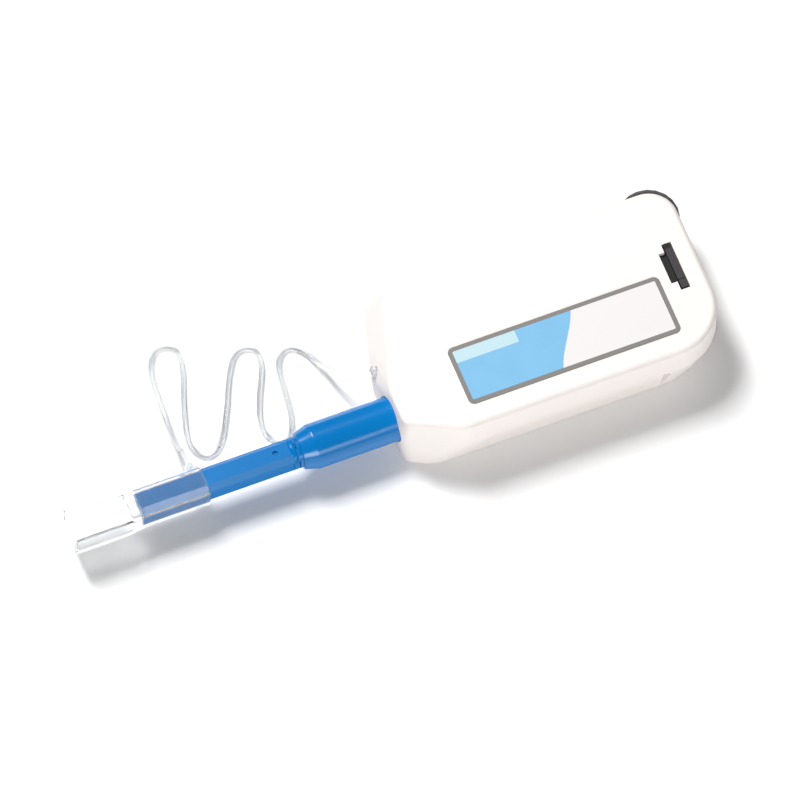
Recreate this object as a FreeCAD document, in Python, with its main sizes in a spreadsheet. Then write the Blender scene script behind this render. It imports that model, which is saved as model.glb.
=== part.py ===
"""Fibre connector cleaning pen: a flat push-action body with a round nozzle.

Pushing the body towards a connector drives the nozzle back into it.  A rack on the
nozzle turns the take-up reel, the take-up dial follows by its pinion, and a helical
groove turns the cleaning tip.  A clear guide cap, tethered by a thin cord, covers
the nozzle.

Every piece is drawn with X = 0 at the body's front, Y = 0 on the nozzle's axis and
Z = 0 on the underside, and is then placed so that the origin lies under the middle
of the body.  +X points to the back, +Z up.
"""
import FreeCAD, Part
import math
import os
import re
import Sketcher

# Driving dimensions in millimetres, unless the name says otherwise.
SIZES = {
    # housing
    "body_length": 55.0,
    "body_height": 12.6,
    "split_height": 7.0,
    "near_side": 8.9,
    "far_side": 20.6,
    "nose_near": 3.9,
    "nose_far": 8.5,
    "nose_taper": 1.85,
    "nose_slant": 0.3,
    "corner_radius": 4.8,
    "back_radius": 9.0,
    "taper_radius": 6.0,
    "nose_radius": 2.4,
    "slant_radius": 2.4,
    "front_lean_degrees": 9.0,
    "slant_lean_degrees": 27.0,
    "far_lean_degrees": 7.0,
    "base_lean_degrees": 14.0,
    "back_lean_degrees": 19.0,
    "taper_lean_degrees": 6.0,
    "base_front_lean_degrees": 4.0,
    "rim_radius": 0.8,
    "base_radius": 0.6,
    "wall": 1.3,
    "hollow_inset": 3.0,
    "base_wall": 1.4,
    "nose_bevel": 6.8,
    "nose_bevel_drop": 0.7,
    "grip_front": 9.7,
    "grip_slope": 3.9,
    "grip_back": 43.0,
    "grip_back_slope": 1.5,
    "grip_face": 7.3,
    # label
    "label_length": 36.0,
    "label_width": 10.6,
    "label_front": 11.6,
    "label_near": 5.4,
    "label_thickness": 0.12,
    "label_radius": 1.0,
    # nozzle
    "axis_height": 6.3,
    "sleeve_radius": 3.7,
    "sleeve_bore": 3.0,
    "sleeve_reach": 13.1,
    "cone_length": 2.9,
    "cone_radius": 2.6,
    "lip_length": 0.5,
    "lip_step": 0.35,
    "sleeve_tail": 9.5,
    "sleeve_front_wall": 3.5,
    "tube_width": 4.4,
    "tube_chamfer": 0.9,
    "tube_tip": 42.7,
    "tube_bore": 1.3,
    "spigot_radius": 2.0,
    "spigot_length": 3.4,
    "dimple_place": 19.4,
    "dimple_radius": 0.45,
    "dimple_depth": 0.3,
    "stroke": 5.0,
    # cleaning shaft
    "shaft_radius": 0.9,
    "shaft_bore": 0.5,
    "shaft_tip": 40.6,
    "shaft_back": 34.0,
    "head_radius": 0.62,
    "head_reach": 1.5,
    "barrel_radius": 2.7,
    "barrel_front": 6.2,
    "barrel_back": 8.5,
    "groove_width": 1.0,
    "groove_depth": 0.8,
    "groove_turn_degrees": 180.0,
    "cam_pin_radius": 0.4,
    "cam_pin_place": 1.6,
    # guide cap
    "cap_rear": 31.5,
    "cap_front": 54.0,
    "cap_rear_width": 5.6,
    "cap_front_width": 6.3,
    "cap_neck": 42.4,
    "cap_shoulder": 45.6,
    "cap_wall_front": 0.65,
    "cap_stop": 43.0,
    "cap_stop_thickness": 1.4,
    "cap_stop_bore": 1.2,
    "cap_chamfer": 1.2,
    "lug_radius": 0.95,
    "lug_reach": 1.1,
    "lug_place": 32.5,
    # mechanism
    "gear_module": 0.5,
    "reel_teeth": 24.0,
    "dial_gear_teeth": 10.0,
    "gear_height": 1.3,
    "gear_base": 6.05,
    "reel_side": 10.3,
    "supply_place": 20.0,
    "take_up_inset": 9.7,
    "flange_radius": 6.1,
    "flange_thickness": 0.5,
    "hub_radius": 2.2,
    "reel_base": 2.9,
    "supply_top": 10.4,
    "supply_wound": 5.6,
    "take_up_wound": 3.4,
    "axle_radius": 0.8,
    "running_gap": 0.05,
    "washer_radius": 3.0,
    "dial_radius": 5.0,
    "dial_thickness": 3.2,
    "dial_inset": 4.2,
    "dial_side": 16.78,
    "dial_teeth": 10.0,
    "dial_slot": 0.55,
    "dial_slot_depth": 1.6,
    "dial_gap": 0.35,
    "dial_axle_foot": 3.0,
    "dial_axle_sink": 0.6,
    "pawl_gap": 0.1,
    "pawl_reach": 6.0,
    "pawl_leaf": 0.4,
    "pawl_heel": 1.2,
    "pin_radius": 0.7,
    "pin_height": 3.0,
    "chassis_thickness": 1.0,
    "hollow_gap": 0.1,
    "bulkhead_place": 30.5,
    "bulkhead_thickness": 2.0,
    "arm_near": 3.3,
    "arm_far": 8.5,
    "arm_base": 9.0,
    "arm_thickness": 1.2,
    "latch_inset": 4.6,
    "latch_bar_width": 1.2,
    "latch_bar_near": 1.7,
    "latch_bar_length": 8.2,
    "latch_stem_length": 1.0,
    "latch_bar_rise": 0.15,
    "latch_stem_drop": 0.7,
    "window_gap": 0.2,
    "rail_near": 3.0,
    "rail_inset": 8.4,
    "collar_length": 4.0,
    "rack_length": 8.6,
    "spring_radius": 2.35,
    "spring_wire": 0.25,
    "spring_turns": 6.0,
    # tether
    "cord_radius": 0.4,
    "bead_place": 0.5,
    "bead_flat": 0.7,
    "bead_stem": 2.6,
    "bead_side": 7.8,
    "bead_height": 8.7,
    "bead_radius": 0.9,
}

PITCH_ANGLE = 20.0
THREAD_RADIUS = 0.15
SPRING_CORNERS = 6

# Route of the tether cord, front-based like every piece: out of the bead, down to the
# floor, and in three loose loops to the lug on the guide cap.
CORD_ROUTE = [
    (-0.2, 7.8, 8.7), (-2.4, 7.9, 8.1), (-4.3, 11.0, 4.4), (-5.7, 15.6, 1.2),
    (-6.9, 19.0, 0.5), (-9.2, 21.2, 0.5), (-11.7, 19.2, 0.5), (-12.4, 14.6, 0.5),
    (-12.9, 9.8, 0.5), (-14.2, 6.0, 0.5), (-17.0, 5.4, 0.5), (-18.6, 8.4, 0.5),
    (-16.9, 13.8, 0.5), (-14.0, 19.2, 0.5), (-14.0, 22.8, 0.5), (-17.0, 23.6, 0.5),
    (-19.6, 19.8, 0.5), (-22.4, 13.6, 0.5), (-25.1, 8.6, 0.5), (-28.1, 6.9, 0.5),
    (-30.4, 9.8, 0.5), (-28.6, 16.6, 0.5), (-25.9, 23.4, 0.5), (-25.6, 27.2, 0.5),
    (-28.4, 28.8, 0.5), (-31.0, 25.6, 0.5), (-31.6, 19.6, 0.6), (-32.0, 13.8, 1.2),
    (-32.4, 9.4, 3.2), (-32.5, 6.4, 6.3), (-32.5, 3.9, 6.3),
]


# ---------------------------------------------------------------- document and helpers

doc = FreeCAD.newDocument("cleaning_pen")
sheet = doc.addObject("Spreadsheet::Sheet", "Sizes")
for row, (name, number) in enumerate(SIZES.items(), start=1):
    sheet.set("A%d" % row, name)
    sheet.set("B%d" % row, str(number))
    sheet.setAlias("B%d" % row, name)
doc.recompute()

subparts = []


def sized(words):
    """Write an expression with the sheet's name before each of its sizes."""
    def name_in_sheet(found):
        word = found.group(0)
        return "Sizes." + word if word in SIZES else word
    return re.sub(r"[a-z][a-z_]*", name_in_sheet, str(words))


def number(words):
    """Value of an expression, from the sheet."""
    return float(sheet.evalExpression(sized(words)))


def bind(thing, **sizes):
    """Bind properties to expressions; a double underscore stands for a dot."""
    for prop, words in sizes.items():
        thing.setExpression(prop.replace("__", "."), sized(words))


def move(thing, x="0", y="0", z="0"):
    """Place an object by expressions."""
    bind(thing, Placement__Base__x=x, Placement__Base__y=y, Placement__Base__z=z)
    return thing


def keep(thing, label, x="0", y="0", z="0"):
    """Name a sub-part and place it in the frame under the middle of the body."""
    thing.Label = label
    move(thing, "(%s) - body_length / 2" % x, y, z)
    subparts.append(thing)
    return thing


def turn(thing, axis, degrees):
    """Turn an object about an axis through its own origin."""
    thing.Placement = FreeCAD.Placement(FreeCAD.Vector(0, 0, 0), FreeCAD.Rotation(axis, degrees))
    return thing


X_AXIS = FreeCAD.Vector(1, 0, 0)
Y_AXIS = FreeCAD.Vector(0, 1, 0)
Z_AXIS = FreeCAD.Vector(0, 0, 1)


def box(length, width, height, x, y, z):
    """A block with its lowest corner at x, y, z."""
    block = doc.addObject("Part::Box", "block")
    bind(block, Length=length, Width=width, Height=height)
    return move(block, x, y, z)


def rod(radius, length, x, y, z, along="z"):
    """A round bar that starts at x, y, z and runs along an axis."""
    bar = doc.addObject("Part::Cylinder", "bar")
    bind(bar, Radius=radius, Height=length)
    if along == "x":
        turn(bar, Y_AXIS, 90)
    if along == "y":
        turn(bar, X_AXIS, -90)
    return move(bar, x, y, z)


def fuse(*pieces):
    """One solid from several that touch or overlap."""
    whole = doc.addObject("Part::MultiFuse", "joined")
    whole.Shapes = list(pieces)
    whole.Refine = True
    return whole


def cut(base, *tools):
    """A solid less one or more others."""
    rest = doc.addObject("Part::Cut", "cut")
    rest.Base = base
    rest.Tool = tools[0] if len(tools) == 1 else fuse(*tools)
    rest.Refine = True
    return rest


def ring(outer, inner, length, x, y, z, along="z"):
    """A round bar with a hole along it."""
    return cut(rod(outer, length, x, y, z, along), rod(inner, length, x, y, z, along))


def new_body(name):
    return doc.addObject("PartDesign::Body", name)


def sketch_on(body, name, role, lift="0"):
    """A sketch on one of the body's own planes, lifted along the plane's normal."""
    sketch = body.newObject("Sketcher::SketchObject", name)
    plane = [datum for datum in body.Origin.OriginFeatures if datum.Role == role][0]
    sketch.AttachmentSupport = [(plane, "")]
    sketch.MapMode = "FlatFace"
    bind(sketch, AttachmentOffset__Base__z=lift)
    return sketch


def fix_point(sketch, geometry, end, place):
    """Hold one end of a line, or a circle's centre, at a place given by expressions."""
    for kind, words in zip(("DistanceX", "DistanceY"), place):
        rule = Sketcher.Constraint(kind, -1, 1, geometry, end, number(words))
        index = sketch.addConstraint(rule)
        sketch.setExpression("Constraints[%d]" % index, sized(words))


def polygon(sketch, corners):
    """A closed outline of straight lines through corners given by expressions."""
    first = sketch.GeometryCount
    places = [FreeCAD.Vector(number(x), number(y), 0) for x, y in corners]
    for start, end in zip(places, places[1:] + places[:1]):
        sketch.addGeometry(Part.LineSegment(start, end), False)
    count = len(corners)
    for index in range(count):
        following = first + (index + 1) % count
        sketch.addConstraint(Sketcher.Constraint("Coincident", first + index, 2, following, 1))
    for index, corner in enumerate(corners):
        fix_point(sketch, first + index, 1, corner)
    return sketch


def circle(sketch, x, y, radius):
    """A circle with its centre and radius given by expressions."""
    centre = FreeCAD.Vector(number(x), number(y), 0)
    index = sketch.addGeometry(Part.Circle(centre, Z_AXIS, number(radius)), False)
    fix_point(sketch, index, 3, (x, y))
    rule = sketch.addConstraint(Sketcher.Constraint("Radius", index, number(radius)))
    sketch.setExpression("Constraints[%d]" % rule, sized(radius))
    return sketch


def oblong(sketch, x_low, y_low, x_high, y_high):
    return polygon(sketch, [(x_low, y_low), (x_high, y_low), (x_high, y_high), (x_low, y_high)])


def cut_square(sketch, width, chamfer):
    """A square about the sketch's origin with its corners cut off."""
    half = "(%s) / 2" % width
    edge = "(%s) / 2 - (%s)" % (width, chamfer)
    corners = []
    for x_sign, y_sign in (("", "-"), ("", ""), ("-", ""), ("-", "-")):
        along = (x_sign + "(%s)" % half, y_sign + "(%s)" % edge)
        across = (x_sign + "(%s)" % edge, y_sign + "(%s)" % half)
        corners += [along, across] if x_sign != y_sign else [across, along]
    ordered = sorted(corners, key=lambda place: math.atan2(number(place[1]), number(place[0])))
    return polygon(sketch, ordered)


def pad(body, name, sketch, length, backwards=False):
    feature = body.newObject("PartDesign::Pad", name)
    feature.Profile = sketch
    feature.Reversed = backwards
    bind(feature, Length=length)
    doc.recompute()
    return feature


def pocket(body, name, sketch, depth, along_normal=False):
    """Cut a sketch into the body; along_normal cuts on the side that the normal shows."""
    before = body.Shape.Volume
    feature = body.newObject("PartDesign::Pocket", name)
    feature.Profile = sketch
    feature.Reversed = along_normal
    bind(feature, Length=depth)
    doc.recompute()
    if body.Shape.Volume > before - 1e-4:
        raise RuntimeError("%s in %s cuts nothing" % (name, body.Name))
    return feature


def revolve(body, name, sketch, axis):
    feature = body.newObject("PartDesign::Revolution", name)
    feature.Profile = sketch
    feature.ReferenceAxis = (sketch, [axis])
    feature.Angle = 360
    doc.recompute()
    return feature


def loft(body, name, low, high):
    feature = body.newObject("PartDesign::AdditiveLoft", name)
    feature.Profile = low
    feature.Sections = [high]
    feature.Ruled = True
    doc.recompute()
    return feature


def round_edges(body, name, radius, wanted):
    """Fillet the edges of the body for which wanted(edge) is true."""
    tip = body.Tip
    names = []
    for index, edge in enumerate(tip.Shape.Edges, start=1):
        if wanted(edge):
            names.append("Edge%d" % index)
    if not names:
        raise RuntimeError("%s in %s finds no edge" % (name, body.Name))
    feature = body.newObject("PartDesign::Fillet", name)
    feature.Base = (tip, names)
    bind(feature, Radius=radius)
    doc.recompute()
    return feature


def lies_at(edge, height, near=0.02):
    """True if the whole edge lies at one height."""
    box_of_edge = edge.BoundBox
    return abs(box_of_edge.ZMin - height) < near and abs(box_of_edge.ZMax - height) < near


# ---------------------------------------------------------------- housing

# Outline of the housing at its split line, from the near front corner round to the front.
OUTLINE = [
    ("0", "-nose_near"),
    ("nose_taper * (near_side - nose_near)", "-near_side"),
    ("body_length", "-near_side"),
    ("body_length", "far_side"),
    ("nose_slant * (far_side - nose_far)", "far_side"),
    ("0", "nose_far"),
]
CORNER_RADII = ["nose_radius", "taper_radius", "back_radius", "corner_radius",
                "slant_radius", "taper_radius"]
NEAR, BACK, FAR, SLANT, FRONT, TAPER = "near back far slant front taper".split()


def side_of(face):
    """Which upright side of the housing a flat face is, by its direction, or None."""
    if face.Surface.TypeId != "Part::GeomPlane":
        return None
    outward = face.normalAt(0, 0)
    if abs(outward.z) > 0.6:
        return None
    bearing = math.degrees(math.atan2(outward.y, outward.x)) % 360
    slant = math.degrees(math.atan2(number("nose_slant"), -1)) % 360
    taper = math.degrees(math.atan2(-number("nose_taper"), -1)) % 360
    bearings = {NEAR: 270, BACK: 0, FAR: 90, SLANT: slant, FRONT: 180, TAPER: taper}
    for side, direction in bearings.items():
        if abs((bearing - direction + 180) % 360 - 180) < 2:
            return side
    return None


def lean_sides(body, name, angle, neutral, sides, outwards=False):
    """Lean some of the housing's sides inwards or outwards, away from a neutral height."""
    tip = body.Tip
    before = tip.Shape.Volume
    names = []
    for index, face in enumerate(tip.Shape.Faces, start=1):
        if side_of(face) in sides:
            names.append("Face%d" % index)
        if face.BoundBox.ZLength < 1e-3 and abs(face.BoundBox.ZMin - number(neutral)) < 1e-3:
            level = "Face%d" % index
    feature = body.newObject("PartDesign::Draft", name)
    feature.Base = (tip, names)
    feature.NeutralPlane = (tip, [level])
    bind(feature, Angle=angle)
    doc.recompute()
    if (body.Shape.Volume > before) != outwards:
        feature.Reversed = True
        doc.recompute()
    return feature


def round_corners(body):
    """Round the housing's upright corners, found by the sides that meet there."""
    order = [TAPER, NEAR, BACK, FAR, SLANT, FRONT]
    for index, radius in enumerate(CORNER_RADII):
        pair = {order[index - 1], order[index]}

        def between(edge):
            owners = {side_of(face) for face in body.Tip.Shape.ancestorsOfType(edge, Part.Face)}
            return pair <= owners
        round_edges(body, "corner%d" % index, radius, between)


def cut_shared_openings(body, name, split, upwards):
    """The nozzle's bore and the dial's slot, which both shells share."""
    mouth = circle(sketch_on(body, name + "_mouth", "YZ_Plane", "-2"),
                   "0", "axis_height", "sleeve_radius + 3 * running_gap")
    pocket(body, name + "_bore", mouth, "2 + wall * 3", along_normal=True)
    slot = circle(sketch_on(body, name + "_slot", "XY_Plane", "split_height"),
                  "body_length - dial_inset", "dial_side", "dial_radius + dial_gap")
    pocket(body, name + "_dial_slot", slot, split, along_normal=upwards)
    foot = "dial_axle_foot" if not upwards else "split_height"
    above = "body_height - wall - split_height + dial_axle_sink"
    reach = above if upwards else "split_height - dial_axle_foot"
    hole = circle(sketch_on(body, name + "_axle", "XY_Plane", foot),
                  "body_length - dial_inset", "dial_side", "axle_radius + running_gap / 2")
    pocket(body, name + "_axle_hole", hole, reach, along_normal=True)


def make_bottom_shell():
    body = new_body("bottom_shell")
    outline = polygon(sketch_on(body, "outline", "XY_Plane", "split_height"), OUTLINE)
    pad(body, "form", outline, "split_height", backwards=True)
    lean_sides(body, "sides_lean", "base_lean_degrees", "split_height", {NEAR, FAR})
    lean_sides(body, "back_lean", "back_lean_degrees", "split_height", {BACK})
    lean_sides(body, "nose_lean", "base_front_lean_degrees", "split_height", {SLANT, FRONT})
    lean_sides(body, "taper_lean", "taper_lean_degrees", "split_height", {TAPER}, outwards=True)
    round_corners(body)
    round_edges(body, "base_rim", "base_radius", lambda edge: lies_at(edge, 0))
    grip = polygon(sketch_on(body, "grip_outline", "XZ_Plane", "grip_face"), [
        ("grip_front", "-1"),
        ("grip_back", "-1"),
        ("grip_back", "base_radius"),
        ("grip_back + grip_back_slope", "split_height - 0.6"),
        ("grip_back + grip_back_slope - 1", "split_height"),
        ("grip_front + grip_slope + 1", "split_height"),
        ("grip_front + grip_slope", "split_height - 0.6"),
        ("grip_front", "base_radius"),
    ])
    pocket(body, "finger_grip", grip, "near_side", along_normal=True)
    hollow = polygon(sketch_on(body, "hollow_outline", "XY_Plane", "split_height"), [
        ("2 * wall", "-nose_near"),
        ("2 * wall + nose_taper * (near_side - 3 * wall - nose_near)", "wall * 3 - near_side"),
        ("body_length - hollow_inset - 3.3", "wall * 3 - near_side"),
        ("body_length - hollow_inset", "wall * 3 - near_side + 6.4"),
        ("body_length - hollow_inset", "far_side - 3 * wall - 3"),
        ("body_length - hollow_inset - 3.6", "far_side - 3 * wall + 0.6"),
        ("nose_slant * (far_side - nose_far) + 2 * wall", "far_side - 3 * wall + 0.6"),
        ("2 * wall", "nose_far - 0.5"),
    ])
    pocket(body, "hollow", hollow, "split_height - base_wall")
    cut_shared_openings(body, "front", "split_height - gear_base + 0.25", upwards=False)
    return keep(body, "bottom_shell")


def make_top_shell():
    body = new_body("top_shell")
    outline = polygon(sketch_on(body, "outline", "XY_Plane", "split_height"), OUTLINE)
    pad(body, "form", outline, "body_height - split_height")
    lean_sides(body, "front_lean", "front_lean_degrees", "split_height", {FRONT})
    lean_sides(body, "slant_lean", "slant_lean_degrees", "split_height", {SLANT})
    lean_sides(body, "far_lean", "far_lean_degrees", "split_height", {FAR})
    round_corners(body)
    bevel = polygon(sketch_on(body, "bevel_outline", "XZ_Plane", "near_side + 5"), [
        ("nose_bevel", "body_height"),
        ("nose_bevel", "body_height + 1"),
        ("-1", "body_height + 1"),
        ("-1", "body_height - nose_bevel_drop"),
    ])
    pocket(body, "nose_bevel", bevel, "near_side + far_side + 10")
    slope = number("nose_bevel_drop / (nose_bevel + 1)")

    def on_top_rim(edge):
        """True for the edges round the top face and its front bevel, not between them."""
        bounds = edge.BoundBox
        crossing = abs(bounds.XMin - number("nose_bevel")) < 0.02
        if crossing and abs(bounds.XMax - number("nose_bevel")) < 0.02:
            return False
        for vertex in edge.Vertexes:
            drop = max(0.0, number("nose_bevel") - vertex.Point.x) * slope
            if abs(vertex.Point.z - (number("body_height") - drop)) > 0.03:
                return False
        return True
    round_edges(body, "top_rim", "rim_radius", on_top_rim)
    hollow = polygon(sketch_on(body, "hollow_outline", "XY_Plane", "split_height"), [
        ("2 * wall + 0.4", "-nose_near"),
        ("nose_taper * (near_side - nose_near) + wall", "wall - near_side"),
        ("body_length - wall - back_radius * 2 / 3", "wall - near_side"),
        ("body_length - wall", "wall - near_side + back_radius * 2 / 3"),
        ("body_length - wall", "far_side - wall - 4.6"),
        ("body_length - wall - 3.8", "far_side - wall - 0.8"),
        ("nose_slant * (far_side - nose_far) + 3.3", "far_side - wall - 0.8"),
        ("2 * wall + 0.4", "nose_far - 3"),
    ])
    pocket(body, "hollow", hollow, "body_height - wall - split_height", along_normal=True)
    slot_top = "gear_base + gear_height + 0.2 + dial_thickness + 0.25 - split_height"
    cut_shared_openings(body, "front", slot_top, upwards=True)
    bar = oblong(sketch_on(body, "bar_window", "XY_Plane", "body_height + 1"),
                 "body_length - latch_inset - window_gap", "latch_bar_near - window_gap",
                 "body_length - latch_inset + latch_bar_width + window_gap",
                 "latch_bar_near + latch_bar_length + window_gap")
    pocket(body, "latch_window", bar, "1 + 2 * wall")
    stem = oblong(sketch_on(body, "stem_window", "XY_Plane", "body_height + 1"),
                  "body_length - latch_inset - latch_stem_length - window_gap", "arm_near - window_gap",
                  "body_length - latch_inset", "arm_far + window_gap")
    pocket(body, "latch_stem_window", stem, "1 + 2 * wall")
    eye = circle(sketch_on(body, "tether_eye", "YZ_Plane", "-2"),
                 "bead_side", "bead_height", "cord_radius + 0.2")
    pocket(body, "tether_hole", eye, "2 + 3 * wall", along_normal=True)
    return keep(body, "top_shell")


def make_label():
    """The flat print plate on the top face, left bare."""
    body = new_body("label_plate")
    face = oblong(sketch_on(body, "outline", "XY_Plane"), "0", "0", "label_length", "label_width")
    pad(body, "plate", face, "label_thickness")
    thickness = number("label_thickness")
    round_edges(body, "corners", "label_radius",
                lambda edge: abs(edge.BoundBox.ZLength - thickness) < 1e-3)
    return keep(body, "label_plate", "label_front", "-label_near", "body_height")


# ---------------------------------------------------------------- nozzle

def make_nozzle_sleeve():
    """The wide round sleeve, with its cone and rounded lip."""
    body = new_body("nozzle_sleeve")
    profile = polygon(sketch_on(body, "profile", "XZ_Plane"), [
        ("sleeve_tail", "sleeve_bore"),
        ("sleeve_tail", "sleeve_radius"),
        ("-sleeve_reach", "sleeve_radius"),
        ("-(sleeve_reach + cone_length - lip_length)", "cone_radius + lip_step"),
        ("-(sleeve_reach + cone_length - lip_length)", "cone_radius"),
        ("-(sleeve_reach + cone_length)", "cone_radius"),
        ("-(sleeve_reach + cone_length)", "spigot_radius + running_gap / 2"),
        ("-(sleeve_reach + cone_length) + sleeve_front_wall", "spigot_radius + running_gap / 2"),
        ("-(sleeve_reach + cone_length) + sleeve_front_wall", "sleeve_bore"),
    ])
    revolve(body, "turned", profile, "H_Axis")
    shoulder = number("-sleeve_reach")
    lip = number("-(sleeve_reach + cone_length - lip_length)")
    outer = number("cone_radius + lip_step")

    def is_shoulder(edge):
        bounds = edge.BoundBox
        at_shoulder = abs(bounds.XMin - shoulder) < 0.02 and abs(bounds.XMax - shoulder) < 0.02
        at_lip = abs(bounds.XMin - lip) < 0.02 and abs(bounds.XMax - lip) < 0.02
        return at_shoulder or (at_lip and abs(bounds.ZMax - outer) < 0.02)
    round_edges(body, "soft_shoulder", "lip_step * 0.8", is_shoulder)
    pin_hole = circle(sketch_on(body, "pin_outline", "XY_Plane"),
                      "cam_pin_place", "0", "cam_pin_radius + running_gap / 2")
    pocket(body, "pin_hole", pin_hole, "sleeve_radius", along_normal=True)
    return keep(body, "nozzle_sleeve", z="axis_height")


def make_nozzle_tube():
    """The narrow guide tube, square with cut edges, on a round spigot."""
    body = new_body("nozzle_tube")
    shank_back = "-(sleeve_reach + cone_length)"
    section = cut_square(sketch_on(body, "section", "YZ_Plane", "-tube_tip"),
                         "tube_width", "tube_chamfer")
    pad(body, "shank", section, "tube_tip - sleeve_reach - cone_length")
    end = circle(sketch_on(body, "spigot_outline", "YZ_Plane", shank_back), "0", "0", "spigot_radius")
    pad(body, "spigot", end, "spigot_length")
    hole = circle(sketch_on(body, "bore_outline", "YZ_Plane", "-tube_tip - 1"), "0", "0", "tube_bore")
    pocket(body, "bore", hole, "tube_tip + 1", along_normal=True)
    dot = circle(sketch_on(body, "dimple_outline", "XY_Plane", "tube_width / 2"),
                 "-dimple_place", "0", "dimple_radius")
    pocket(body, "dimple", dot, "dimple_depth")
    return keep(body, "nozzle_tube", z="axis_height")


def make_cam_pin():
    """The steel pin in the sleeve that follows the barrel's groove."""
    inner = "barrel_radius - groove_depth * 0.8"
    pin = rod("cam_pin_radius", "sleeve_radius - 0.15 - (%s)" % inner, "0", "0", "0")
    return keep(pin, "cam_pin", "cam_pin_place", "0", "axis_height + " + inner)


def make_drive_slide():
    """The carriage behind the sleeve, with a rail that ends in the rack."""
    pitch_line = "reel_side - reel_teeth * gear_module / 2"
    root_line = "(%s) - 1.2 * gear_module" % pitch_line
    collar = rod("sleeve_radius - 0.1", "collar_length", "sleeve_tail", "0", "axis_height", "x")
    rail = box("body_length - rail_inset - sleeve_tail - 1", "(%s) - rail_near" % root_line, "gear_height",
               "sleeve_tail + 1", "rail_near", "gear_base")
    foot = box("collar_length - 1", "(%s)" % root_line, "gear_height",
               "sleeve_tail + 1", "0", "gear_base")
    bore = rod("shaft_radius + 0.25", "collar_length + 2", "sleeve_tail - 1", "0", "axis_height", "x")
    blank = cut(fuse(collar, rail, foot), bore)
    pitch = math.pi * number("gear_module")
    first = int(math.floor(number("take_up_inset - rail_inset - rack_length") / pitch))
    last = int(math.ceil(number("take_up_inset - rail_inset") / pitch)) - 1
    teeth = [blank]
    for index in range(first, last):
        centre = "body_length - take_up_inset + (%d + 0.5) * gear_module * %.6f" % (index, math.pi)
        teeth.append(rack_tooth(centre, root_line))
    return keep(fuse(*teeth), "drive_slide")


def rack_tooth(centre, root_line):
    """One tooth of the rack: a wedge that narrows away from the rail."""
    tooth = doc.addObject("Part::Wedge", "rack_tooth")
    flank = math.tan(math.radians(PITCH_ANGLE))
    root_half = "gear_module * %.5f" % (0.22 * math.pi + 1.2 * flank)
    tip_half = "gear_module * %.5f" % (0.22 * math.pi - 0.85 * flank)
    bind(tooth, Xmin="-(%s)" % root_half, Xmax=root_half, X2min="-(%s)" % tip_half, X2max=tip_half,
         Ymin="0", Ymax="gear_module * 2.05", Zmin="0", Zmax="gear_height",
         Z2min="0", Z2max="gear_height")
    return move(tooth, centre, root_line, "gear_base")


# ---------------------------------------------------------------- cleaning shaft

def make_tip_shaft():
    """The hollow shaft that carries the thread to the tip."""
    tube = ring("shaft_radius", "shaft_bore", "shaft_tip + shaft_back",
                "-shaft_tip", "0", "axis_height", "x")
    return keep(tube, "tip_shaft")


def make_spiral_barrel():
    """The barrel on the shaft, with the helical groove that the cam pin follows."""
    solid = ring("barrel_radius", "shaft_radius", "barrel_front + barrel_back",
                 "-barrel_front", "0", "axis_height", "x")
    doc.recompute()
    lead = number("stroke * 360 / groove_turn_degrees")
    run = number("stroke + 2 * (cam_pin_radius + 0.3)")
    depth = number("groove_depth")
    half = number("groove_width") / 2
    middle = number("barrel_radius") - depth / 2
    path = Part.makeHelix(lead, run, middle)
    low = middle - depth / 2
    high = middle + depth
    corners = [FreeCAD.Vector(low, 0, -half), FreeCAD.Vector(high, 0, -half),
               FreeCAD.Vector(high, 0, half), FreeCAD.Vector(low, 0, half)]
    section = Part.makePolygon(corners + corners[:1])
    cutter = Part.Wire(path.Edges).makePipeShell([section], True, True)
    cutter.rotate(FreeCAD.Vector(), Y_AXIS, 90)
    start = number("cam_pin_place") - number("cam_pin_radius") - 0.3
    lead_in = -(number("cam_pin_radius") + 0.3) / lead * 360
    cutter.rotate(FreeCAD.Vector(), X_AXIS, 180 + lead_in)
    cutter.translate(FreeCAD.Vector(start, 0, number("axis_height")))
    barrel = doc.addObject("Part::Feature", "spiral_barrel")
    barrel.Shape = solid.Shape.cut(cutter)
    return keep(barrel, "spiral_barrel")


def make_tip_head():
    """The small head that holds the thread against a connector's end face."""
    head = doc.addObject("Part::Cylinder", "head")
    bind(head, Radius="head_radius", Height="head_reach")
    turn(head, Y_AXIS, -90)
    stem = rod("shaft_bore - running_gap / 2", "2", "0", "0", "0", "x")
    return keep(fuse(head, stem), "tip_head", "-shaft_tip", "0", "axis_height")


# ---------------------------------------------------------------- guide cap

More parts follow.
